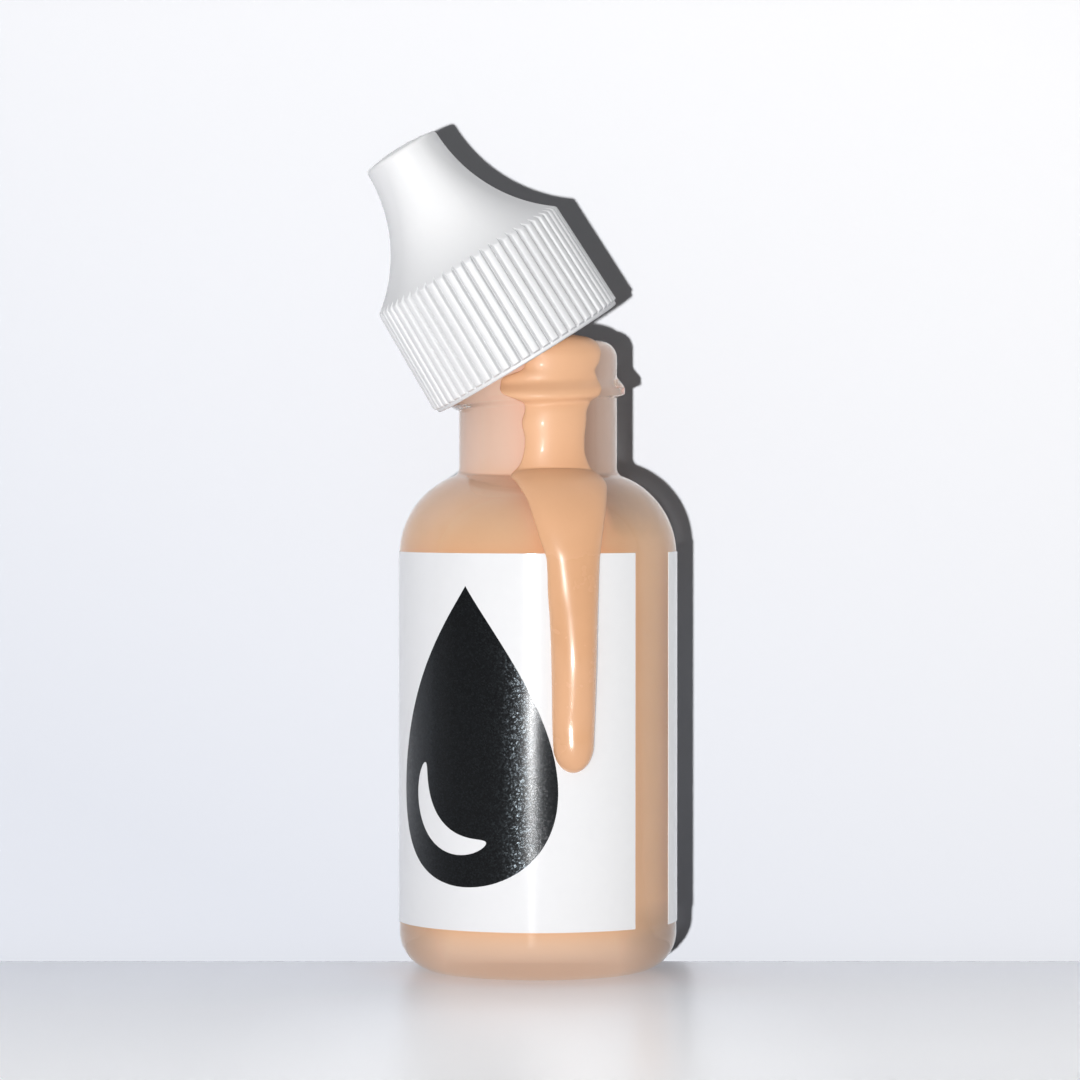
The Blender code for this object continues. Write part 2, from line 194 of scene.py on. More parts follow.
def bridged(first, second):
    """Faces between two closed rings of vertex numbers. The finer ring has a whole multiple of the coarser
    one's vertices, and a ring of one vertex is a pole."""
    flipped = len(first) > len(second)
    if flipped:
        first, second = second, first
    times = len(second) // len(first)
    faces = []
    for i in range(len(second)):
        j = (i + 1) % len(second)
        near, far = first[i // times], first[((i + 1) // times) % len(first)]
        face = [near, second[i], second[j]] if near == far else [near, second[i], second[j], far]
        faces.append(face if flipped else face[::-1])
    return faces


def skin(rings, closed=False):
    """Points and faces of the surface through these rings, each an array of points round the axis."""
    points = np.concatenate(rings)
    ends = np.cumsum([len(r) for r in rings])
    numbers = [list(range(end - len(r), end)) for r, end in zip(rings, ends)]
    faces = []
    for first, second in zip(numbers, numbers[1:] + (numbers[:1] if closed else [])):
        faces += bridged(first, second)
    return points, faces


def turned(profile, columns, closed=False):
    """A surface turned about Z from (radius, height) points; a radius of zero is a pole."""
    angles = even_angles(columns)
    return skin([polar(r, angles[:1] if r == 0 else angles, z) for r, z in profile], closed)


def tube(sections):
    """A closed loft through equally long closed sections, with both ends filled."""
    count = len(sections[0])
    points, faces = skin(list(sections))
    last = len(points) - count
    return points, faces + [list(range(count)), list(range(last, last + count))[::-1]]


# ---------------------------------------------------------------- node helpers


class Shader:
    """A material's node tree with a short way to add and join nodes."""

    def __init__(self, name):
        self.material = bpy.data.materials.new(name)
        self.material.use_nodes = True
        self.tree = self.material.node_tree
        self.main = self.tree.nodes["Principled BSDF"]
        self.output = self.tree.nodes["Material Output"]
        self.place = self.add("ShaderNodeTexCoord").outputs["Object"]

    def add(self, kind, inputs=None, **settings):
        node = self.tree.nodes.new(kind)
        for key, value in settings.items():
            setattr(node, key, value)
        for key, value in (inputs or {}).items():
            if isinstance(value, bpy.types.NodeSocket):
                self.tree.links.new(value, node.inputs[key])
            else:
                node.inputs[key].default_value = value
        return node

    def set(self, **values):
        """Sets Principled inputs; an underscore stands for a space."""
        for key, value in values.items():
            socket = self.main.inputs[key.replace("_", " ")]
            if isinstance(value, bpy.types.NodeSocket):
                self.tree.links.new(value, socket)
            else:
                socket.default_value = value

    def noise(self, per_mm, detail=2.0, roughness=0.5):
        inputs = {"Vector": self.place, "Scale": per_mm / MM, "Detail": detail, "Roughness": roughness}
        return self.add("ShaderNodeTexNoise", inputs).outputs["Fac"]

    def ramp(self, value, *stops):
        """A colour ramp; each stop is (position, colour or grey)."""
        node = self.add("ShaderNodeValToRGB", {"Fac": value})
        elements = node.color_ramp.elements
        while len(elements) < len(stops):
            elements.new(1.0)
        for element, (position, colour) in zip(elements, stops):
            element.position = position
            element.color = (*colour, 1.0) if isinstance(colour, tuple) else (colour, colour, colour, 1.0)
        return node.outputs["Color"]

    def range(self, value, low, high, to_low, to_high):
        inputs = {"Value": value, "From Min": low, "From Max": high, "To Min": to_low, "To Max": to_high}
        return self.add("ShaderNodeMapRange", inputs).outputs["Result"]

    def math(self, operation, a, b=0.0):
        return self.add("ShaderNodeMath", {0: a, 1: b}, operation=operation).outputs[0]

    def mix(self, share, a, b):
        node = self.add("ShaderNodeMix", data_type="RGBA")
        for number, value in ((0, share), (6, a), (7, b)):
            if isinstance(value, bpy.types.NodeSocket):
                self.tree.links.new(value, node.inputs[number])
            else:
                node.inputs[number].default_value = (*value, 1.0) if isinstance(value, tuple) else value
        return node.outputs[2]

    def product(self, first, *others):
        for other in others:
            first = self.math("MULTIPLY", first, other)
        return first

    def vector(self, operation, a, b):
        return self.add("ShaderNodeVectorMath", {0: a, 1: b}, operation=operation).outputs

    def split(self, vector):
        return self.add("ShaderNodeSeparateXYZ", {"Vector": vector}).outputs

    def height(self):
        return self.split(self.place)["Z"]

    def facing(self, way):
        """How far the surface faces this way: 1 straight towards it, -1 straight away."""
        normal = self.add("ShaderNodeNewGeometry").outputs["Normal"]
        return self.vector("DOT_PRODUCT", normal, way)["Value"]

    def square_on(self):
        """1 where the surface is seen square on and 0 where it is seen edge on."""
        seen = self.add("ShaderNodeNewGeometry").outputs
        return self.vector("DOT_PRODUCT", seen["Normal"], seen["Incoming"])["Value"]

    def bump(self, value, depth_mm):
        return self.add("ShaderNodeBump", {"Height": value, "Distance": depth_mm * MM}).outputs["Normal"]

    def end_in(self, share, first, second):
        """Makes the surface a mix of two shaders' outputs."""
        both = self.add("ShaderNodeMixShader", {0: share, 1: first, 2: second})
        self.tree.links.new(both.outputs[0], self.output.inputs["Surface"])


# ---------------------------------------------------------------- materials

KEY_AZIMUTH, KEY_ELEVATION, KEY_DISTANCE, KEY_SIZE = -5.1, -2.0, 0.72, 0.05
BENT_LEFT, BENT_DOWN = 0.12, 0.42  # how far the glass bends the lamp's light round the liquid
BENT_KEY_WAY = Vector(
    (
        math.sin(math.radians(KEY_AZIMUTH)) - BENT_LEFT,
        -math.cos(math.radians(KEY_AZIMUTH)),
        math.sin(math.radians(KEY_ELEVATION)) - BENT_DOWN,
    )
).normalized()
KEY_IN_GLASS = 0.56  # how brightly it then lights the liquid
WRAP = 0.4  # how far past edge on it still reaches


def glass_material():
    """Clear flint glass. Light reaches what is behind it straight through, so nothing inside goes black, but
    each surface takes enough of the lamp's light for the glass to throw a shadow, the neck most of all."""
    s = Shader("clear_glass")
    waves = s.bump(s.noise(0.12, 1.0), 0.02)
    tint = {"Color": (0.97, 0.985, 0.98, 1), "Roughness": 0.015, "IOR": 1.5, "Normal": waves}
    glass = s.add("ShaderNodeBsdfGlass", tint)
    path = s.add("ShaderNodeLightPath").outputs
    shade = s.ramp(s.math("ABSOLUTE", s.square_on()), (0.3, 0.08), (0.85, 0.5))
    shade = s.mix(s.range(s.height(), 58 * MM, 66 * MM, 0.0, 0.6), shade, (0.02, 0.015, 0.015))
    through = s.mix(path["Is Shadow Ray"], (0.96, 0.97, 0.965), shade)
    clear = s.add("ShaderNodeBsdfTransparent", {"Color": through})
    lighting = s.math("MAXIMUM", path["Is Shadow Ray"], path["Is Diffuse Ray"])
    s.end_in(lighting, glass.outputs[0], clear.outputs[0])
    return s.material


def fill_material():
    """Foundation wetting the inside of the glass: full tan in the body, a thinner, pinker film up the neck.
    Painted shade darkens it underneath, towards its sides low down and beside the spill as its shadow, and
    painted light makes it paler at the heel. The glass bends the lamp's light round the liquid, so the lamp's
    share is painted here as emission, wrapped light."""
    s = Shader("foundation_in_glass")
    spot = s.split(s.place)
    bearing = s.math("ARCTAN2", spot["X"], s.math("MULTIPLY", spot["Y"], -1.0))
    uneven = s.math("MULTIPLY", s.math("SUBTRACT", s.noise(0.25, 3.0), 0.5), 4 * MM)
    up = s.math("ADD", spot["Z"], uneven)
    thin = s.range(up, 52 * MM, 61 * MM, 0.0, 1.0)
    cloud = s.mix(s.noise(0.18, 3.0), (0.80, 0.475, 0.282), (0.86, 0.525, 0.32))
    tone = s.mix(thin, cloud, (0.88, 0.60, 0.47))
    # Painted light: a paler, pinker tan low down at the heel, for light coming up through the thick base.
    heel_glow = s.range(spot["Z"], 3.2 * MM, 6.0 * MM, 0.6, 0.0)
    tone = s.mix(heel_glow, tone, (0.74, 0.57, 0.47))
    # Painted shade: darker where the liquid faces down.
    underneath = s.range(s.facing((0, 0, -1)), 0.8, 1.0, 0.0, 0.08)
    tone = s.mix(underneath, tone, (0.52, 0.42, 0.37))
    # Painted shade: darker towards both sides, mostly low down near the heel, a little less on the left.
    off_middle = s.math("ABSOLUTE", s.math("ADD", spot["X"], 0.6 * MM))
    side_shade = s.range(off_middle, 9 * MM, 15 * MM, 0.0, 1.0)
    side_shade = s.product(side_shade, s.range(spot["Z"], 4.5 * MM, 9 * MM, 0.85, 0.12))
    tone = s.mix(side_shade, tone, (0.26, 0.16, 0.11))
    # Painted shadow of the spill: darker to the right of it on the neck and shoulder, fading towards the
    # back.
    spill_ends = s.range(bearing, math.radians(34), math.radians(38), 0.0, 1.0)
    shadow_fade = s.range(bearing, math.radians(40), math.radians(86), 0.66, 0.12)
    not_behind = s.range(bearing, math.radians(90), math.radians(150), 1.0, 0.0)
    spill_shadow = s.product(spill_ends, shadow_fade, s.range(up, 51 * MM, 57 * MM, 0.0, 1.0), not_behind)
    tone = s.mix(spill_shadow, tone, (0.20, 0.12, 0.08))
    s.set(Base_Color=tone, Roughness=0.6, Specular_IOR_Level=0.0)
    # Painted light: the lamp's share, as emission that follows the lamp's way.
    wrapped_light = s.range(s.facing(BENT_KEY_WAY), -WRAP, 1.0, 0.0, KEY_IN_GLASS)
    s.set(Emission_Color=tone, Emission_Strength=wrapped_light)
    return s.material


def drip_material():
    """Wet foundation: opaque pigment in a glossy fluid, more satin on the neck, with painted light making it
    brighter on the neck and painted shade darkening its edges where they turn edge on.
    """
    s = Shader("foundation_wet")
    tone = s.mix(s.noise(0.22, 3.0), (0.79, 0.425, 0.225), (0.85, 0.47, 0.255))
    # Painted light: the tan is brighter up the neck.
    on_neck = s.range(s.height(), 48 * MM, 64 * MM, 0.0, 1.0)
    tone = s.mix(on_neck, tone, (0.90, 0.51, 0.29))
    # Painted shade: darker where the surface turns edge on, most of all on the neck.
    edge_shade = s.range(s.square_on(), 0.1, 0.6, 0.5, 0.0)
    edge_shade = s.product(edge_shade, s.range(on_neck, 0.0, 1.0, 0.2, 1.0))
    tone = s.mix(edge_shade, tone, (0.42, 0.21, 0.11))
    satin = s.range(s.height(), 49 * MM, 53.5 * MM, 0.0, 1.0)
    patchy = s.range(s.noise(0.5, 2.0), 0.3, 0.7, 0.24, 0.28)
    s.set(Base_Color=tone, Roughness=s.math("ADD", patchy, s.math("MULTIPLY", satin, 0.14)), IOR=1.44)
    s.set(Normal=s.bump(s.noise(0.35, 1.0), 0.008))
    s.set(Coat_Weight=s.range(satin, 0.0, 1.0, 0.8, 0.08), Coat_Roughness=0.12)
    return s.material


def label_material():
    """White semi-gloss film with the faint orange peel of its varnish, with painted light making it a little
    whiter to the right.
    """
    s = Shader("label_film")
    grain = s.noise(6.0, 3.0, 0.6)
    # Painted light: whiter towards the right.
    painted_light_right = s.range(s.split(s.place)["X"], -12 * MM, 12 * MM, 0.0, 1.0)
    white = s.mix(painted_light_right, (0.90, 0.90, 0.91), (0.965, 0.96, 0.955))
    duller = s.mix(0.1, white, (0.7, 0.7, 0.72))
    s.set(Base_Color=s.mix(s.noise(0.8, 4.0), duller, white))
    s.set(Roughness=s.range(grain, 0.3, 0.7, 0.10, 0.13), Specular_IOR_Level=0.4)
    s.set(Normal=s.bump(grain, 0.0005))
    return s.material


FLAKE_LEAN = 0.2


def ink_material():
    """Black ink with a fine metallic flake, each flake tipped its own way so that it glints on its own."""
    s = Shader("label_ink")
    cells = s.add("ShaderNodeTexVoronoi", {"Vector": s.place, "Scale": 6.0 / MM, "Randomness": 1.0})
    flake = s.add("ShaderNodeSeparateColor", {"Color": cells.outputs["Color"]})
    lean = s.vector("SUBTRACT", cells.outputs["Color"], (0.5, 0.5, 0.5))[0]
    lean = s.vector("MULTIPLY", lean, (FLAKE_LEAN, FLAKE_LEAN, FLAKE_LEAN))[0]
    tipped = s.vector("ADD", s.add("ShaderNodeNewGeometry").outputs["Normal"], lean)[0]
    normal = s.add("ShaderNodeVectorMath", {0: tipped}, operation="NORMALIZE").outputs[0]
    share = s.ramp(flake.outputs["Red"], (0.2, 0.15), (0.9, 1.0))
    s.set(Base_Color=s.mix(share, (0.002, 0.002, 0.003), (0.020, 0.0235, 0.026)))
    s.set(Metallic=share, Roughness=0.26, Normal=normal, Specular_IOR_Level=0.05)
    s.set(Coat_Weight=0.4, Coat_Roughness=0.2)
    return s.material


def cap_material():
    """White satin polypropylene with a fine spark-eroded texture. A painted highlight, as emission, lifts
    what faces up and forward; painted shade in its base colour darkens the sides of the ribs turned from the
    lamp, what faces up and to the right, and the foot of the nose above the ribs."""
    s = Shader("white_polypropylene")
    grain = s.noise(9.0, 3.0, 0.65)
    axis, foot = cap_frame().col[2].xyz, cap_frame().translation
    along = s.math("SUBTRACT", s.vector("DOT_PRODUCT", s.place, axis)["Value"], axis.dot(foot))
    # Painted shade: the foot of the nose, just above the ribs, is darker.
    on_nose = s.range(along, BAND_TOP - 0.4 * MM, BAND_TOP + 0.2 * MM, 0.0, 1.0)
    nose_foot_shade = s.product(on_nose, s.range(along, BAND_TOP, BAND_TOP + 6.5 * MM, 0.17, 0.0))
    # Painted shade: rib sides turned from the lamp, and what faces up and to the right, are darker.
    away = s.range(s.facing((0.89, 0.0, -0.45)), 0.4, 0.95, 0.0, 0.62)
    up_right_shade = s.range(s.facing((0.6, -0.2, 0.77)), 0.6, 1.0, 0.0, 0.24)
    white = s.mix(s.noise(0.3, 2.0), (0.81, 0.81, 0.815), (0.83, 0.83, 0.833))
    white = s.mix(on_nose, white, (0.855, 0.855, 0.858))
    for share in (away, nose_foot_shade, up_right_shade):
        white = s.mix(share, white, (0.30, 0.31, 0.33))
    s.set(Base_Color=white, Normal=s.bump(grain, 0.0025))
    s.set(Roughness=s.range(grain, 0.3, 0.7, 0.38, 0.46), Specular_IOR_Level=0.6)
    # Painted highlight: an emission glow on what faces up and forward.
    painted_highlight = s.range(s.facing((-0.2, -0.87, 0.45)), 0.68, 1.0, 0.0, 0.215)
    s.set(Emission_Color=white, Emission_Strength=painted_highlight)
    return s.material


def insert_material():
    """Natural polyethylene, milky, and stained with foundation round the nozzle."""
    s = Shader("natural_polyethylene")
    patches = s.range(s.noise(0.35, 2.0), 0.3, 0.7, -0.3, 0.3)
    smear = s.math("ADD", s.range(s.height(), 74 * MM, 81 * MM, 1.05, 0.0), patches)
    stained = s.ramp(smear, (0.42, 0.0), (0.62, 1.0))
    s.set(Base_Color=s.mix(stained, (0.85, 0.85, 0.83), (0.84, 0.49, 0.28)))
    s.set(Roughness=s.mix(stained, (0.42,) * 3, (0.15,) * 3))
    s.set(Subsurface_Weight=0.4, Subsurface_Radius=(1.5 * MM, 1.3 * MM, 1.1 * MM), Subsurface_Scale=1.0)
    s.set(Normal=s.bump(s.noise(3.0, 2.0), 0.004))
    return s.material


def foam_material():
    """Closed-cell liner foam: matt, with small cells."""
    s = Shader("liner_foam")
    cells = s.add("ShaderNodeTexVoronoi", {"Vector": s.place, "Scale": 4.0 / MM}).outputs["Distance"]
    s.set(Base_Color=s.mix(s.noise(1.2, 3.0), (0.80, 0.79, 0.76), (0.72, 0.70, 0.66)))
    s.set(Roughness=0.85, Normal=s.bump(cells, 0.03))
    return s.material


# ---------------------------------------------------------------- bottle


def thread_ends(turn):
    """1 along a thread and 0 past its ends, where it fades out; turn is in degrees along it."""
    return smoothstep(0, THREAD_TAPER, turn - THREAD_START) * smoothstep(0, THREAD_TAPER, THREAD_END - turn)


def thread_rise(azimuth_deg, above):
    """How far the neck's bead stands out at this azimuth and height, 0 off the bead and 1 on its crest."""
    rise = np.zeros(np.broadcast(azimuth_deg, above).shape)
    wrapped = (np.asarray(azimuth_deg) + 180.0) % 360.0 - 180.0
    for turn in (wrapped, wrapped - 360.0):
        from_middle = above - THREAD_MIDDLE - PITCH * turn / 360.0
        top = ramp_down(*BEAD_TOP, from_middle)
        under = 1 - ramp_down(*BEAD_UNDERSIDE, from_middle)
        rise = np.maximum(rise, top * under * thread_ends(turn))
    return rise


def glass_outline():
    """The outside of the bottle without its thread, as (r, z) from the middle of the base to the mouth."""
    heel = (BODY_RADIUS - HEEL_RADIUS, HEEL_RADIUS)
    shoulder = (BODY_RADIUS - SHOULDER_RADIUS, SHOULDER_START)
    reach = SHOULDER_RADIUS + NECK_FILLET
    meet = math.acos((NECK_RADIUS + NECK_FILLET - shoulder[0]) / reach)
    fillet = (NECK_RADIUS + NECK_FILLET, SHOULDER_START + reach * math.sin(meet))
    lip = (NECK_RADIUS - LIP_RADIUS, BOTTLE_HEIGHT - LIP_RADIUS)
    mouth = (BORE_RADIUS + BORE_EDGE, BOTTLE_HEIGHT - BORE_EDGE)
    return (
        [(0.0, 0.0)]
        + arc(heel, HEEL_RADIUS, -90, 0, 24)
        + arc(shoulder, SHOULDER_RADIUS, 0, math.degrees(meet), 26)
        + arc(fillet, NECK_FILLET, 180 + math.degrees(meet), 180, 8)[1:]
        + arc(lip, LIP_RADIUS, 0, 90, 16)
        + arc(mouth, BORE_EDGE, 90, 180, 4)
    )


def inner_outline(inset, top):
    """The inside wall from this height in the bore to the middle of the floor, moved inwards by inset."""
    radius = BODY_RADIUS - WALL - inset
    shoulder = (BODY_RADIUS - SHOULDER_RADIUS, SHOULDER_START)
    shoulder_radius = SHOULDER_RADIUS - WALL - inset
    bore = BORE_RADIUS - inset
    fillet = BORE_FILLET + inset
    meet = math.acos((bore + fillet - shoulder[0]) / (shoulder_radius + fillet))
    centre = (bore + fillet, SHOULDER_START + (shoulder_radius + fillet) * math.sin(meet))
    heel_radius = INNER_HEEL_RADIUS - inset
    heel = (radius - heel_radius, BASE_THICKNESS + inset + heel_radius)
    return (
        [(bore, top)]
        + arc(centre, fillet, 180, 180 + math.degrees(meet), 8)[:-1]
        + arc(shoulder, shoulder_radius, math.degrees(meet), 0, 26)
        + arc(heel, heel_radius, 0, -90, 16)
        + [(0.0, BASE_THICKNESS + inset)]
    )


def on_neck(radius):
    return np.abs(radius - NECK_RADIUS) < 1e-5


def bottle_rings():
    """The bottle's outside, fine enough over the thread to carry it, and then its inside."""
    outside = densified(glass_outline(), LONG_STEP)
    low, high = THREAD_ZONE
    threaded = [k for k, (r, z) in enumerate(outside) if on_neck(r) and low < z < high]
    first, last = threaded[0], threaded[-1]
    outside[first : last + 1] = densified([outside[first], outside[last]], FINE_STEP)
    angles = even_angles(BOTTLE_COLUMNS)
    rings = []
    for r, z in outside:
        rise = thread_rise(np.degrees(angles), z) * (THREAD_CREST - NECK_RADIUS) if on_neck(r) else 0.0
        rings.append(polar(r + rise, angles[:1] if r == 0 else angles, z))
    for r, z in densified(inner_outline(0.0, BOTTLE_HEIGHT - BORE_EDGE), LONG_STEP)[1:]:
        rings.append(polar(r, angles[:1] if r == 0 else angles, z))
    return rings


def make_bottle(material):
    points, faces = skin(bottle_rings())
    bottle = add_piece("bottle_glass", points, faces, "bottle", material, sharp_deg=50)
    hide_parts("glass_bottle")


INTO_GLASS = 0.03 * MM
FILM_BELOW_MOUTH = 1.2 * MM
FILM_OFF_PLUG = 0.02 * MM
LIQUID_BELOW_PLUG = 0.5 * MM


def make_fill(material):
    """The liquid stands a hair into the glass, so that the two meet with no air between them."""
    film_top = BOTTLE_HEIGHT - FILM_BELOW_MOUTH
    plug = PLUG_RADIUS + FILM_OFF_PLUG
    liquid_top = PLUG_BOTTOM - LIQUID_BELOW_PLUG
    surface = [(0.0, liquid_top), (plug, liquid_top), (plug, film_top)]
    profile = densified(surface + inner_outline(-INTO_GLASS, film_top), LONG_STEP)
    points, faces = turned(profile, BOTTLE_COLUMNS)
    fill = add_piece("foundation_inside", points, [f[::-1] for f in faces], "bottle", material, sharp_deg=50)
    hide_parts("foundation_fill")


def make_insert(material):
    """The press-in plug, its nozzle and the small hole through it, as one closed profile."""
    deck = BOTTLE_HEIGHT - DECK_BELOW_MOUTH
    edge = 0.3 * MM
    lead_in = [(PLUG_RADIUS - 0.5 * MM, PLUG_BOTTOM), (PLUG_RADIUS - 0.15 * MM, PLUG_BOTTOM + 0.5 * MM)]
    foot = (NOZZLE_FOOT_RADIUS + NOZZLE_FOOT_FILLET, deck + NOZZLE_FOOT_FILLET)
    tip = (NOZZLE_TIP_RADIUS - NOZZLE_TIP_EDGE, NOZZLE_TOP - NOZZLE_TIP_EDGE)
    orifice = [
        (ORIFICE_RADIUS + 0.1 * MM, NOZZLE_TOP - 0.15 * MM),
        (ORIFICE_RADIUS, NOZZLE_TOP - 0.5 * MM),
        (ORIFICE_RADIUS, NOZZLE_TOP - ORIFICE_LENGTH),
    ]
    underside = [
        (NOZZLE_BORE_RADIUS, deck),
        (NOZZLE_BORE_RADIUS, deck - DECK_WALL),
        (PLUG_RADIUS - PLUG_WALL, deck - DECK_WALL),
        (PLUG_RADIUS - PLUG_WALL, PLUG_BOTTOM),
    ]
    profile = (
        lead_in
        + arc((PLUG_RADIUS - edge, deck - edge), edge, 0, 90, 5)
        + arc(foot, NOZZLE_FOOT_FILLET, 270, 190, 8)
        + arc(tip, NOZZLE_TIP_EDGE, 8, 90, 6)
        + orifice
        + underside
    )
    points, faces = turned(densified(profile, 0.6 * MM), BOTTLE_COLUMNS // 2, closed=True)
    insert = add_piece("dropper_plug", points, faces, "bottle", material, sharp_deg=40)
    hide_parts("dropper_insert")


# ---------------------------------------------------------------- label


def make_label(material):
    inner = BODY_RADIUS + FILM_GAP
    outer = inner + FILM_THICKNESS
    edge = FILM_THICKNESS / 4
    low, high = LABEL_BOTTOM, LABEL_TOP
    r = np.array([inner, outer - edge, outer, outer, outer - edge, inner])
    z = np.array([low, low, low + edge, high - edge, high, high])
    start, end = math.radians(LABEL_STARTS - 90), math.radians(LABEL_ENDS + 270)
    sections = [polar(r, angle, z) for angle in np.linspace(start, end, LABEL_COLUMNS + 1)]
    points, faces = tube(sections)
    label = add_piece("label_film", points, faces, "bottle", material, sharp_deg=30)
    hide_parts("wrap_label")


MARK_WIDTH, MARK_HEIGHT = 22.4 * MM, 35.0 * MM
MARK_BEARING = -30.5
MARK_CENTRE = 28.6 * MM
MARK_TAPER = 1.15
MARK_GRID = 0.6 * MM
INK_THICKNESS = 0.02 * MM
GLINT_RADIUS, GLINT_HALF_WIDTH = 6.9 * MM, 1.45 * MM
GLINT_CENTRE = (0.1 * MM, -5.8 * MM)
GLINT_FROM, GLINT_TO = math.radians(158), math.radians(292)


def drop_half_width(up):
    """Half the width of the drop-shaped mark at this height above its middle."""
    turn = np.arccos(np.clip(2 * up / MARK_HEIGHT, -1, 1))
    widest = max(math.sin(t) * math.sin(t / 2) ** MARK_TAPER for t in np.linspace(0, math.pi, 400))
    return MARK_WIDTH / 2 * np.sin(turn) * np.sin(turn / 2) ** MARK_TAPER / widest


def glint_half_width(angle):
    share = (angle - GLINT_FROM) / (GLINT_TO - GLINT_FROM)
    return GLINT_HALF_WIDTH * np.sqrt(np.sin(math.pi * np.clip(share, 0, 1)))


def inside(outline, x, y):
    """True when the point is within the closed outline, counted by the sides a line to its left crosses."""
    crossings = 0
    for (x0, y0), (x1, y1) in zip(outline, outline[1:] + outline[:1]):
        if (y0 > y) != (y1 > y) and x0 + (y - y0) / (y1 - y0) * (x1 - x0) < x:
            crossings += 1
    return crossings % 2 == 1


def mark_outlines():
    """The closed outlines of the drop and of the curved glint left out of it."""
    turns = np.linspace(0, math.tau, 160, endpoint=False)
    up = MARK_HEIGHT / 2 * np.cos(turns)
    drop = list(zip(np.where(turns < math.pi, 1, -1) * drop_half_width(up), up))
    eased = (1 - np.cos(np.linspace(0, math.pi, 41))) / 2
    glint = []
    for side, shares in ((1, eased), (-1, eased[::-1][1:-1])):
        for angle in GLINT_FROM + (GLINT_TO - GLINT_FROM) * shares:
            radius = GLINT_RADIUS + side * glint_half_width(angle)
            x = GLINT_CENTRE[0] + radius * math.cos(angle)
            y = GLINT_CENTRE[1] + radius * math.sin(angle)
            glint.append((x, y))
    return drop, glint


def make_mark(material):
    """A plain drop printed on the label: a flat triangulation wrapped on the film, its underside in the film
    and a wall down every side that only one triangle uses."""
    drop, glint = mark_outlines()
    points = [Vector(p) for p in drop + glint]
    edges = []
    for start, count in ((0, len(drop)), (len(drop), len(glint))):
        edges += [(start + k, start + (k + 1) % count) for k in range(count)]
    for x in np.arange(-MARK_WIDTH / 2, MARK_WIDTH / 2, MARK_GRID):
        for y in np.arange(-MARK_HEIGHT / 2, MARK_HEIGHT / 2, MARK_GRID):
            if inside(drop, x, y) and not inside(glint, x, y):
                points.append(Vector((x, y)))
    found, _, triangles = delaunay_2d_cdt(points, edges, [], 0, 1e-7)[:3]
    kept = []
    for triangle in triangles:
        centre = sum((found[i] for i in triangle), Vector((0, 0))) / 3
        if inside(drop, centre.x, centre.y) and not inside(glint, centre.x, centre.y):
            kept.append(list(triangle))
    sides = {}
    for a, b, c in kept:
        for edge in ((a, b), (b, c), (c, a)):
            if sides.pop(edge[::-1], None) is None:
                sides[edge] = True
    top = BODY_RADIUS + FILM_GAP + FILM_THICKNESS + INK_THICKNESS
    middle = math.radians(MARK_BEARING - 90)
    wrapped = []
    for radius in (top, top - 1.5 * INK_THICKNESS):
        wrapped += [polar(radius, middle + p.x / top, MARK_CENTRE + p.y) for p in found]
    n = len(found)
    faces = kept + [(c + n, b + n, a + n) for a, b, c in kept] + [(b, a, a + n, b + n) for a, b in sides]
    mark = add_piece("label_mark", wrapped, faces, "bottle", material, sharp_deg=40)


# ---------------------------------------------------------------- spilt foundation

# Heights on the glass in mm, counted on inwards across the flat of the lip; left and right bearing; thickness
SPILL = (
    (79.8, -118, 96, 1.5),
    (78.3, -104, 84, 0.95),
    (76.3, -84, 70, 0.75),
    (74.9, -66, 57, 0.75),
    (74.4, -52, 54, 0.75),
    (73.4, -34, 52.5, 0.7),
    (72.3, -12, 50, 0.65),
    (71.3, -11.5, 45.5, 0.6),
    (70.4, -25.5, 47.5, 0.6),
    (69.5, -27.5, 47.4, 0.55),
    (68.4, -23, 44.5, 0.62),
    (67.5, -11, 40.5, 0.8),
    (66.6, -9.5, 37.5, 1.0),
    (65.3, -11.5, 36.8, 1.05),
    (63.1, -9.4, 35.3, 0.9),
    (61.4, -10.6, 36.0, 0.82),
    (60.1, -13.5, 39.5, 0.9),
    (59.2, -18.0, 44, 1.0),
    (58.1, -12.5, 42.5, 1.1),
    (56.4, -6.0, 35.6, 1.2),
    (53.5, -1.5, 29.4, 1.25),
    (50.9, 1.4, 26.6, 1.2),
    (49.5, 3.2, 25.7, 1.3),
    (47.8, 3.7, 25.3, 1.42),
    (45.5, 3.9, 24.9, 1.6),
    (42.2, 4.7, 24.2, 1.96),
    (37.5, 5.3, 23.6, 2.26),
    (32.4, 5.6, 23.2, 1.98),
    (30.0, 5.7, 23.0, 1.78),
    (27.6, 6.0, 22.6, 1.84),
    (24.5, 6.2, 22.4, 1.74),
)
LIP_FLAT_START = 2.2 * MM
SPILL_STEP = 0.22 * MM
SPILL_TIP_LENGTH = 3.1 * MM
SPILL_COLUMNS = 44
SPILL_LEAN = 0.18  # how far its crest is off the middle of its width, below the shoulder
SPILL_ROUNDNESS = 2.1  # of its cross-section; 2 is an ellipse
SPILL_INTO_GLASS = 0.03 * MM


def spline(keys, values, at):
    """A smooth curve through the values, with Catmull-Rom slopes."""
    keys, values = np.asarray(keys, float), np.asarray(values, float)
    slopes = np.gradient(values, keys)
    k = np.clip(np.searchsorted(keys, at) - 1, 0, len(keys) - 2)
    span = keys[k + 1] - keys[k]
    t = (at - keys[k]) / span
    h00, h10 = (1 + 2 * t) * (1 - t) ** 2, t * (1 - t) ** 2
    h01, h11 = t * t * (3 - 2 * t), t * t * (t - 1)
    return h00 * values[k] + h10 * span * slopes[k] + h01 * values[k + 1] + h11 * span * slopes[k + 1]


def softened(rows, reach):
    """Rows averaged with their neighbours up to reach rows away, the ends held."""
    padded = np.concatenate([rows[:1]] * reach + [rows] + [rows[-1:]] * reach)
    weights = np.hanning(2 * reach + 3)[1:-1]
    weights /= weights.sum()
    return sum(w * padded[k : k + len(rows)] for k, w in enumerate(weights))


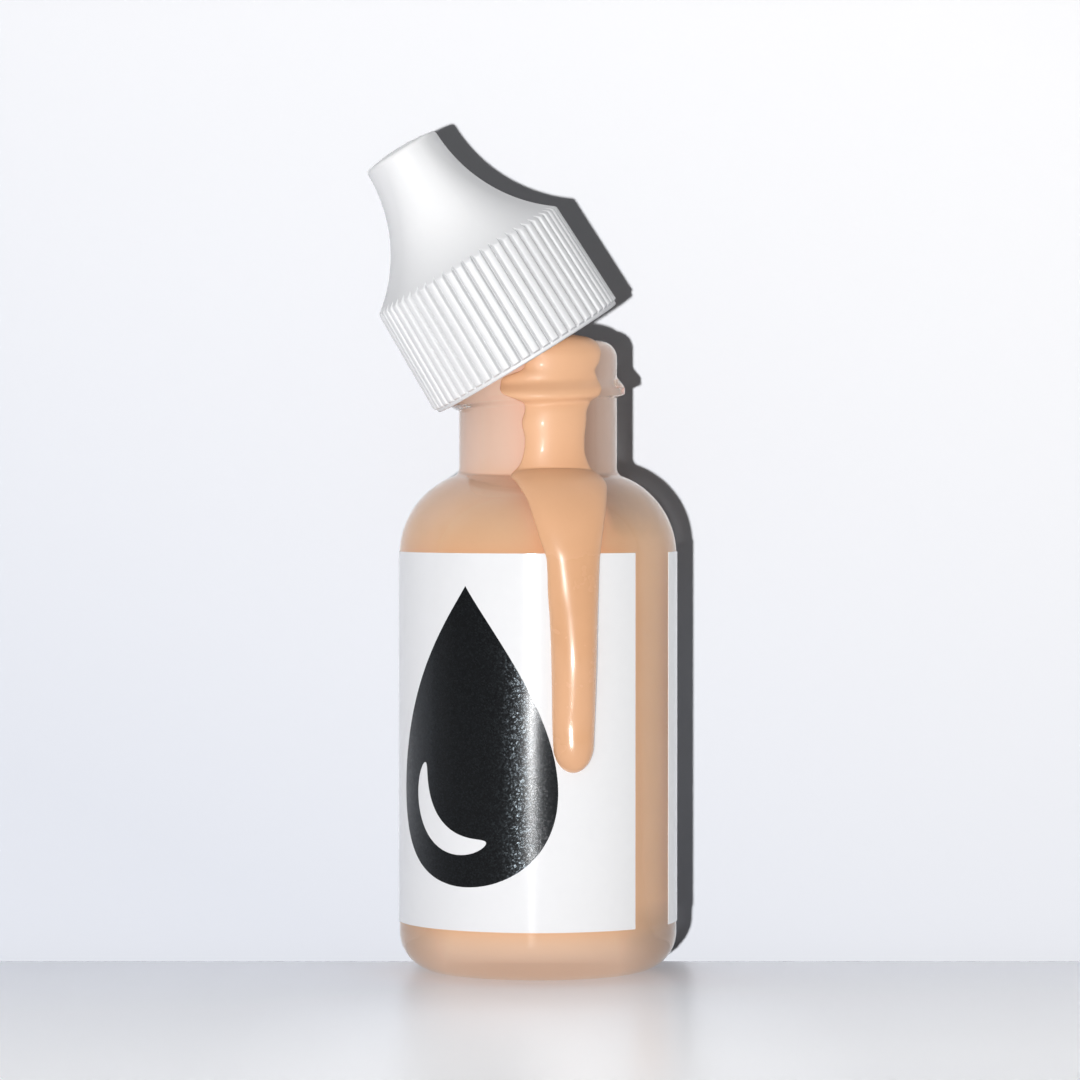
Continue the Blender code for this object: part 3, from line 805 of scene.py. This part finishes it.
def glass_path():
    """The glass from inside the lip's flat down to the heel: for each point its distance along, radius,
    height, outward normal, and its height as SPILL counts it."""
    outline = np.array(glass_outline()[::-1])
    lip = np.argmax(outline[:, 0] >= NECK_RADIUS - LIP_RADIUS - 1e-9)
    corners = np.concatenate([[[LIP_FLAT_START, BOTTLE_HEIGHT]], outline[lip:-1]])
    along = np.concatenate([[0], np.cumsum(np.hypot(*np.diff(corners, axis=0).T))])
    fine = np.arange(0, along[-1], 0.05 * MM)
    r, z = np.interp(fine, along, corners[:, 0]), np.interp(fine, along, corners[:, 1])
    slope = softened(np.stack([np.gradient(r), np.gradient(z)], axis=1), 12)
    slope /= np.linalg.norm(slope, axis=1)[:, None]
    counted = np.where(fine < along[1], BOTTLE_HEIGHT + along[1] - fine, z)
    return fine, r, z, -slope[:, 1], slope[:, 0], counted


def make_spill(material):
    """A skin over the glass and the neck's bead, closed underneath, that follows the rows of SPILL."""
    path = glass_path()
    heights, lefts, rights, depths = np.array(SPILL).T
    keys = np.interp(-heights * MM, -path[5], path[0])
    end = keys[-1]
    tip = np.sin(np.linspace(0, math.pi / 2, 16)[1:-1])
    at = np.arange(keys[0], end - SPILL_TIP_LENGTH, SPILL_STEP)
    at = np.concatenate([at, end - SPILL_TIP_LENGTH * (1 - tip)])
    left, right, thick = (spline(keys, values, at) for values in (lefts, rights, depths * MM))
    rounding = np.sqrt(1 - np.clip((at - end + SPILL_TIP_LENGTH) / SPILL_TIP_LENGTH, 0, 1) ** 2)
    middle = (left + right) / 2
    half = (right - left) / 2 * rounding
    r, z, out, up = (np.interp(at, path[0], column) for column in path[1:5])
    swell = np.stack([out, up], axis=1) * (thick * rounding**0.85)[:, None]
    across = np.sin(np.linspace(-math.pi / 2, math.pi / 2, SPILL_COLUMNS + 1))
    bearing = middle[:, None] + half[:, None] * across
    rise = thread_rise(bearing - 90, z[:, None]) * (THREAD_CREST - NECK_RADIUS) * on_neck(r)[:, None]
    angle = np.radians(bearing - 90)
    sunk_r, sunk_z = r - SPILL_INTO_GLASS * out, z - SPILL_INTO_GLASS * up
    under = polar(sunk_r[:, None] + rise, angle, sunk_z[:, None])
    slumped = SPILL_LEAN * smoothstep(-50 * MM, -43 * MM, -z)[:, None]
    depth = (1 - np.abs(across - slumped * (1 - across**2)) ** SPILL_ROUNDNESS) ** 0.5
    over_rise = softened(rise, 1)
    over = polar(r[:, None] + over_rise + swell[:, :1] * depth, angle, z[:, None] + swell[:, 1:] * depth)
    sections = [np.concatenate([o, u[::-1][1:-1]]) for o, u in zip(over, under)]
    points, faces = tube(sections)
    spill = add_piece("foundation_spill", points, [f[::-1] for f in faces], "bottle", material, sharp_deg=70)
    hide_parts("foundation_drip")


# ---------------------------------------------------------------- cap


def cap_frame():
    """The cap's own frame: its origin at the middle of the rim, its Z along the cap_turn joint's axis."""
    joint = next(j for j in frame["joints"] if j["name"] == "cap_turn")
    axis, pivot = Vector(joint["axis"]).normalized(), Vector(joint["pos_m"])
    rim = min((v.co - pivot).dot(axis) for v in frame["nodes"]["cap_shell"].data.vertices)
    turn = Matrix.Rotation(math.atan2(axis.y, axis.x), 4, "Z") @ Matrix.Rotation(math.acos(axis.z), 4, "Y")
    return Matrix.Translation(pivot + axis * rim) @ turn


def placed(points, matrix):
    m = np.array(matrix)
    return points @ m[:3, :3].T + m[:3, 3]


def rib_phases():
    """Where the columns of one rib stand, as shares of a rib's pitch: close together in the groove at 0."""
    near = [0.0, 0.04, 0.08, 0.12, 0.16, 0.22, 0.32]
    return near + [0.5] + [1 - p for p in near[:0:-1]]


def rib_radius(phase, height):
    """Outer radius of the ribbed band: broad round crests and narrow grooves."""
    crest = RIB_CREST_AT_RIM + (RIB_CREST_AT_TOP - RIB_CREST_AT_RIM) * height / BAND_TOP
    off_groove = np.minimum(phase, 1 - phase)
    groove = 1 - smoothstep(*GROOVE_SIDE, off_groove)
    crown = ((0.5 - off_groove) / 0.5) ** 2
    return crest - RIB_DEPTH * groove - RIB_CROWN * crown


def nose_radius(above_band):
    drop = np.minimum(NOSE_LENGTH - above_band, NOSE_CURVE_RADIUS)
    return NOSE_TOP_RADIUS + NOSE_CURVE_RADIUS - np.sqrt(NOSE_CURVE_RADIUS**2 - drop**2)


def soft_min(a, b, blend):
    """The smaller of the two, with the corner between them rounded over this much of a difference."""
    gap = np.clip(0.5 + 0.5 * (b - a) / blend, 0, 1)
    return b + (a - b) * gap - blend * gap * (1 - gap)


def cap_outside_rings():
    """From the rim over the ribs, closely spaced where they start and end, up the nose to its middle."""
    phases = np.array(rib_phases())
    angles = ((np.arange(RIB_COUNT)[:, None] + phases) * math.tau / RIB_COUNT).ravel()
    phase = np.tile(phases, RIB_COUNT)
    rim_edge = 0.22 * MM
    rings = [polar(r, angles, z) for r, z in arc((RIM_RADIUS - rim_edge, rim_edge), rim_edge, -90, 0, 5)]
    rim, ribs, shoulder = np.linspace(0.26, 0.8, 13), np.linspace(1.4, 12.9, 14), np.linspace(13.05, 14.5, 27)
    for height in np.concatenate([rim, ribs, shoulder]) * MM:
        ribbed = smoothstep(RIM_BAND - 0.08 * MM, RIM_BAND + 0.16 * MM, height)
        out = RIM_RADIUS + (rib_radius(phase, height) - RIM_RADIUS) * ribbed
        out = soft_min(out, nose_radius(height - BAND_TOP), RIB_END_ROUNDING)
        rings.append(polar(out, angles, height))
    smooth = even_angles(RIB_COUNT * 2)
    top_edge = (NOSE_TOP_RADIUS - NOSE_EDGE_RADIUS, BAND_TOP + NOSE_LENGTH - NOSE_EDGE_RADIUS / 2)
    for height in np.linspace(14.75 * MM, top_edge[1] - 0.3 * MM, 40):
        rings.append(polar(nose_radius(height - BAND_TOP), smooth, height))
    for r, z in arc(top_edge, NOSE_EDGE_RADIUS, 3, 80, 8):
        rings.append(polar(r, smooth, z))
    flat_radius, flat_height = r, z
    for share in (0.9, 0.75, 0.5, 0.25):
        rings.append(polar(flat_radius * share, smooth, flat_height + NOSE_DOME * (1 - share**2)))
    rings.append(polar(0.0, smooth[:1], flat_height + NOSE_DOME))
    return rings


def cap_inside_rings():
    """From the rim's inner edge up the threaded bore and the hollow of the nose to its middle."""
    angles = even_angles(RIB_COUNT * 2)
    wrapped = (np.degrees(angles) + 180.0) % 360.0 - 180.0
    edge = 0.25 * MM
    rings = [polar(r, angles, z) for r, z in arc((CAP_BORE_RADIUS + edge, edge), edge, 270, 180, 4)]
    for height in np.arange(*CAP_THREAD_ZONE, 0.12 * MM):
        rise = np.zeros(len(angles))
        for turn in (wrapped, wrapped - 360.0):
            off = np.abs(height - CAP_THREAD_MIDDLE - PITCH * turn / 360.0)
            rise = np.maximum(rise, (1 - smoothstep(*CAP_THREAD_FLANK, off)) * thread_ends(turn))
        rings.append(polar(CAP_BORE_RADIUS - rise * (CAP_BORE_RADIUS - CAP_THREAD_CREST), angles, height))
    corner = (CAP_BORE_RADIUS - CAP_CEILING_FILLET, CAP_CEILING - CAP_CEILING_FILLET)
    lead, bevel = 0.3 * MM, 0.5 * MM
    upper = arc(corner, CAP_CEILING_FILLET, 0, 90, 6)
    upper += arc((NOSE_BORE_BASE + lead, CAP_CEILING + lead), lead, 270, 184, 4)
    upper += [(NOSE_BORE_TIP, NOSE_BORE_TOP - bevel), (NOSE_BORE_TIP - bevel, NOSE_BORE_TOP)]
    upper += [(0.0, NOSE_BORE_TOP)]
    for r, z in densified(upper, LONG_STEP):
        rings.append(polar(r, angles[:1] if r == 0 else angles, z))
    return rings


def make_cap(material):
    points, faces = skin(cap_outside_rings()[::-1] + cap_inside_rings())
    points, faces = placed(points, cap_frame()), [f[::-1] for f in faces]
    cap = add_piece("cap_moulding", points, faces, "cap", material, sharp_deg=60)
    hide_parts("cap_shell")


def make_liner(material):
    soft = 0.2 * MM
    profile = (
        arc((LINER_OUTER - soft, LINER_BOTTOM + soft), soft, -90, 0, 4)
        + arc((LINER_OUTER - soft, LINER_TOP - soft), soft, 0, 90, 4)
        + arc((LINER_INNER + soft, LINER_TOP - soft), soft, 90, 180, 4)
        + arc((LINER_INNER + soft, LINER_BOTTOM + soft), soft, 180, 270, 4)
    )
    points, faces = turned(densified(profile, 0.7 * MM), 144, closed=True)
    liner = add_piece("liner_ring", placed(points, cap_frame()), faces, "lifted_liner", material)
    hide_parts("cap_liner")


# ---------------------------------------------------------------- stage, light and camera

WALL_FOOT, WALL_START, WALL_DISTANCE, WALL_HEIGHT = 8.8 * MM, 13.0 * MM, 20.0 * MM, 1.2
WALL_OFF_FLOOR = 0.01 * MM
FLOOR_REACH = 2.5
CAMERA_DISTANCE, EYE_HEIGHT = 535 * MM, 58.5 * MM
AIM = Vector((0.24 * MM, 0.0, 51.23 * MM))
LENS = 149.67
KEY_POWER, BACKDROP_POWER = 2.55, 23.8
BACKDROP_KEY = (-5.8, -3.0, 0.72, 0.012)  # azimuth, elevation, distance and size
LAMPS_AIM = 0.7  # share of the bottle's height
ROOM_FILL = 0.45
ROOM_SEEN_IN_FRONT, ROOM_SEEN_BEHIND = 0.035, 0.9
ROOM_BEHIND_GAIN = 2.0
# a painted glow, as emission, over all the floor
FLOOR_GLOW = 0.165


def floor_material():
    """Satin white. Painted light makes it paler towards the camera and to the right, and it glows a little
    all over, with a painted patch of light off the bottle's front on it, both as emission.
    """
    s = Shader("pale_floor")
    spot = s.split(s.place)
    # Painted light: a patch of light off the bottle's front, in front of it.
    in_line = s.range(s.math("ABSOLUTE", spot["X"]), 6 * MM, 34 * MM, 0.13, 0.0)
    bounce = s.product(in_line, s.range(spot["Y"], -14 * MM, -45 * MM, 0.0, 1.0))
    # Painted light: paler towards the camera and to the right.
    painted_light_near = s.range(spot["Y"], 10 * MM, -95 * MM, 0.0, 1.0)
    painted_light_right = s.range(spot["X"], -60 * MM, 60 * MM, 0.0, 0.2)
    tone = s.mix(s.math("ADD", painted_light_near, painted_light_right), (0.66, 0.68, 0.74), (0.93, 0.935, 0.95))
    patchy = s.range(s.noise(0.02, 2.0), 0.3, 0.7, 0.28, 0.32)
    s.set(Base_Color=tone, Roughness=patchy, Specular_IOR_Level=0.5)
    # Painted light as emission: the even glow and the patch off the bottle.
    s.set(Emission_Color=tone, Emission_Strength=s.math("ADD", bounce, FLOOR_GLOW))
    return s.material


def backdrop_material():
    """Painted light makes it paler upwards and to the right. It is seen only from its front, and only by the
    camera, in reflections
    and through the glass: shadow and diffuse rays pass."""
    s = Shader("pale_backdrop")
    spot = s.split(s.place)
    # Painted light: paler upwards and to the right.
    up = s.range(spot["Z"], 0.0, 115 * MM, 0.0, 0.75)
    right = s.range(spot["X"], -65 * MM, 65 * MM, -0.15, 0.3)
    tone = s.mix(s.math("ADD", up, right), (0.160, 0.165, 0.178), (0.212, 0.212, 0.215))
    s.set(Base_Color=tone, Roughness=0.9, Specular_IOR_Level=0.0)
    clear = s.add("ShaderNodeBsdfTransparent").outputs[0]
    path = s.add("ShaderNodeLightPath").outputs
    viewer = s.split(s.add("ShaderNodeNewGeometry").outputs["Incoming"])
    behind = s.math("GREATER_THAN", viewer["Y"], 0.0)
    passing = s.math("MAXIMUM", path["Is Shadow Ray"], path["Is Diffuse Ray"])
    s.end_in(s.math("MAXIMUM", behind, passing), s.main.outputs[0], clear)
    return s.material


def add_stage(name, points, faces, material):
    mesh = bpy.data.meshes.new(name)
    mesh.from_pydata(points, [], faces)
    mesh.shade_smooth()
    mesh.materials.append(material)
    obj = bpy.data.objects.new(name, mesh)
    bpy.context.scene.collection.objects.link(obj)
    return obj


def make_stage():
    """A floor, and a wall that curves down to it. The wall is lit as if it faced the front all over, because
    its normals are set so, and the curve at its foot doesn't show."""
    r = FLOOR_REACH
    corners = [(-r, -r, 0), (r, -r, 0), (r, r, 0), (-r, r, 0)]
    add_stage("floor", corners, [(0, 1, 2, 3)], floor_material())
    sweep = WALL_DISTANCE - WALL_START
    curve = [(WALL_FOOT, 0.0)] + arc((WALL_START, sweep), sweep, -90, 0, 16) + [(WALL_DISTANCE, WALL_HEIGHT)]
    points = [(x, y, z + WALL_OFF_FLOOR) for y, z in curve for x in (-r, r)]
    faces = [(2 * k, 2 * k + 1, 2 * k + 3, 2 * k + 2) for k in range(len(curve) - 1)]
    backdrop = add_stage("backdrop", points, faces, backdrop_material())
    backdrop.data.normals_split_custom_set_from_vertices([(0.0, -1.0, 0.0)] * len(points))
    return backdrop


def add_softbox(name, azimuth, elevation, distance, size, power):
    """An area light aimed at the bottle. Azimuth 0 is the camera's side and 90 is to the right."""
    light = bpy.data.lights.new(name, "AREA")
    light.shape = "DISK"
    light.size = size
    light.energy = power
    lamp = bpy.data.objects.new(name, light)
    a, e = math.radians(azimuth), math.radians(elevation)
    way = Vector((math.sin(a) * math.cos(e), -math.cos(a) * math.cos(e), math.sin(e)))
    lamp.location = Vector((0, 0, BOTTLE_HEIGHT * LAMPS_AIM)) + way * distance
    lamp.rotation_mode = "QUATERNION"
    lamp.rotation_quaternion = way.to_track_quat("Z", "Y")
    lamp.visible_camera = False
    bpy.context.scene.collection.objects.link(lamp)
    return lamp


def link_light(lamp, targets, state):
    """Makes this light reach only the targets, or everything but them."""
    receivers = bpy.data.collections.new(lamp.name + "_receivers")
    for target in targets:
        receivers.objects.link(target)
    for entry in receivers.collection_objects:
        entry.light_linking.link_state = state
    lamp.light_linking.receiver_collection = receivers


def make_lights(backdrop):
    """One small lamp beside the camera, in a room that is white behind the bottle and dim in front of it.
    The backdrop is greyer than it looks and has a lamp of its own, so that its shadow is as deep as a
    flash's. The liquid in the glass has the lamp's light in its material."""
    fill = bpy.data.objects["foundation_inside"]
    key = add_softbox("key", KEY_AZIMUTH, KEY_ELEVATION, KEY_DISTANCE, KEY_SIZE, KEY_POWER)
    link_light(key, [backdrop, fill], "EXCLUDE")
    link_light(add_softbox("key_on_backdrop", *BACKDROP_KEY, BACKDROP_POWER), [backdrop], "INCLUDE")
    bpy.context.scene.world = room_world()
    bpy.context.scene.view_settings.view_transform = "Standard"


def room_world():
    """What lights matt surfaces comes mostly from behind and the left; what reflections show is behind."""
    world = bpy.data.worlds.new("room")
    world.use_nodes = True
    nodes, links = world.node_tree.nodes, world.node_tree.links

    def dot(way):
        node = nodes.new("ShaderNodeVectorMath")
        node.operation = "DOT_PRODUCT"
        links.new(direction, node.inputs[0])
        node.inputs[1].default_value = way
        return node.outputs["Value"]

    def mapped(value, low, high, to_low, to_high):
        node = nodes.new("ShaderNodeMapRange")
        for key, setting in (("From Min", low), ("From Max", high)):
            node.inputs[key].default_value = setting
        for key, setting in (("Value", value), ("To Min", to_low), ("To Max", to_high)):
            if isinstance(setting, bpy.types.NodeSocket):
                links.new(setting, node.inputs[key])
            else:
                node.inputs[key].default_value = setting
        return node.outputs["Result"]

    direction = nodes.new("ShaderNodeTexCoord").outputs["Generated"]
    seen = mapped(dot((0, 1, 0)), -0.25, 0.15, ROOM_SEEN_IN_FRONT, ROOM_SEEN_BEHIND)
    fill = mapped(dot((-1, 0, 0)), -1.0, 1.0, ROOM_FILL * 0.74, ROOM_FILL * 1.26)
    from_behind = nodes.new("ShaderNodeMath")
    from_behind.operation = "MULTIPLY"
    links.new(fill, from_behind.inputs[0])
    links.new(mapped(dot((0.35, 0.94, 0)), 0.1, 1.0, 1.0, ROOM_BEHIND_GAIN), from_behind.inputs[1])
    ray = nodes.new("ShaderNodeLightPath")
    seen = mapped(ray.outputs["Is Camera Ray"], 0.0, 1.0, seen, ROOM_SEEN_BEHIND)
    strength = mapped(ray.outputs["Is Diffuse Ray"], 0.0, 1.0, seen, from_behind.outputs[0])
    links.new(strength, nodes["Background"].inputs["Strength"])
    nodes["Background"].inputs["Color"].default_value = (0.97, 0.975, 0.99, 1)
    return world


def make_camera():
    camera = bpy.data.objects.new("camera", bpy.data.cameras.new("camera"))
    bpy.context.scene.collection.objects.link(camera)
    camera.data.lens = LENS
    camera.data.sensor_width = 36.0
    camera.data.clip_start, camera.data.clip_end = 0.01, 10.0
    camera.location = Vector((AIM.x, -CAMERA_DISTANCE, EYE_HEIGHT))
    camera.rotation_mode = "QUATERNION"
    camera.rotation_quaternion = (AIM - camera.location).to_track_quat("-Z", "Y")
    bpy.context.scene.camera = camera


# ---------------------------------------------------------------- the scene


def main():
    make_bottle(glass_material())
    make_fill(fill_material())
    make_insert(insert_material())
    make_label(label_material())
    make_mark(ink_material())
    make_spill(drip_material())
    make_cap(cap_material())
    make_liner(foam_material())
    make_lights(make_stage())
    make_camera()


main()
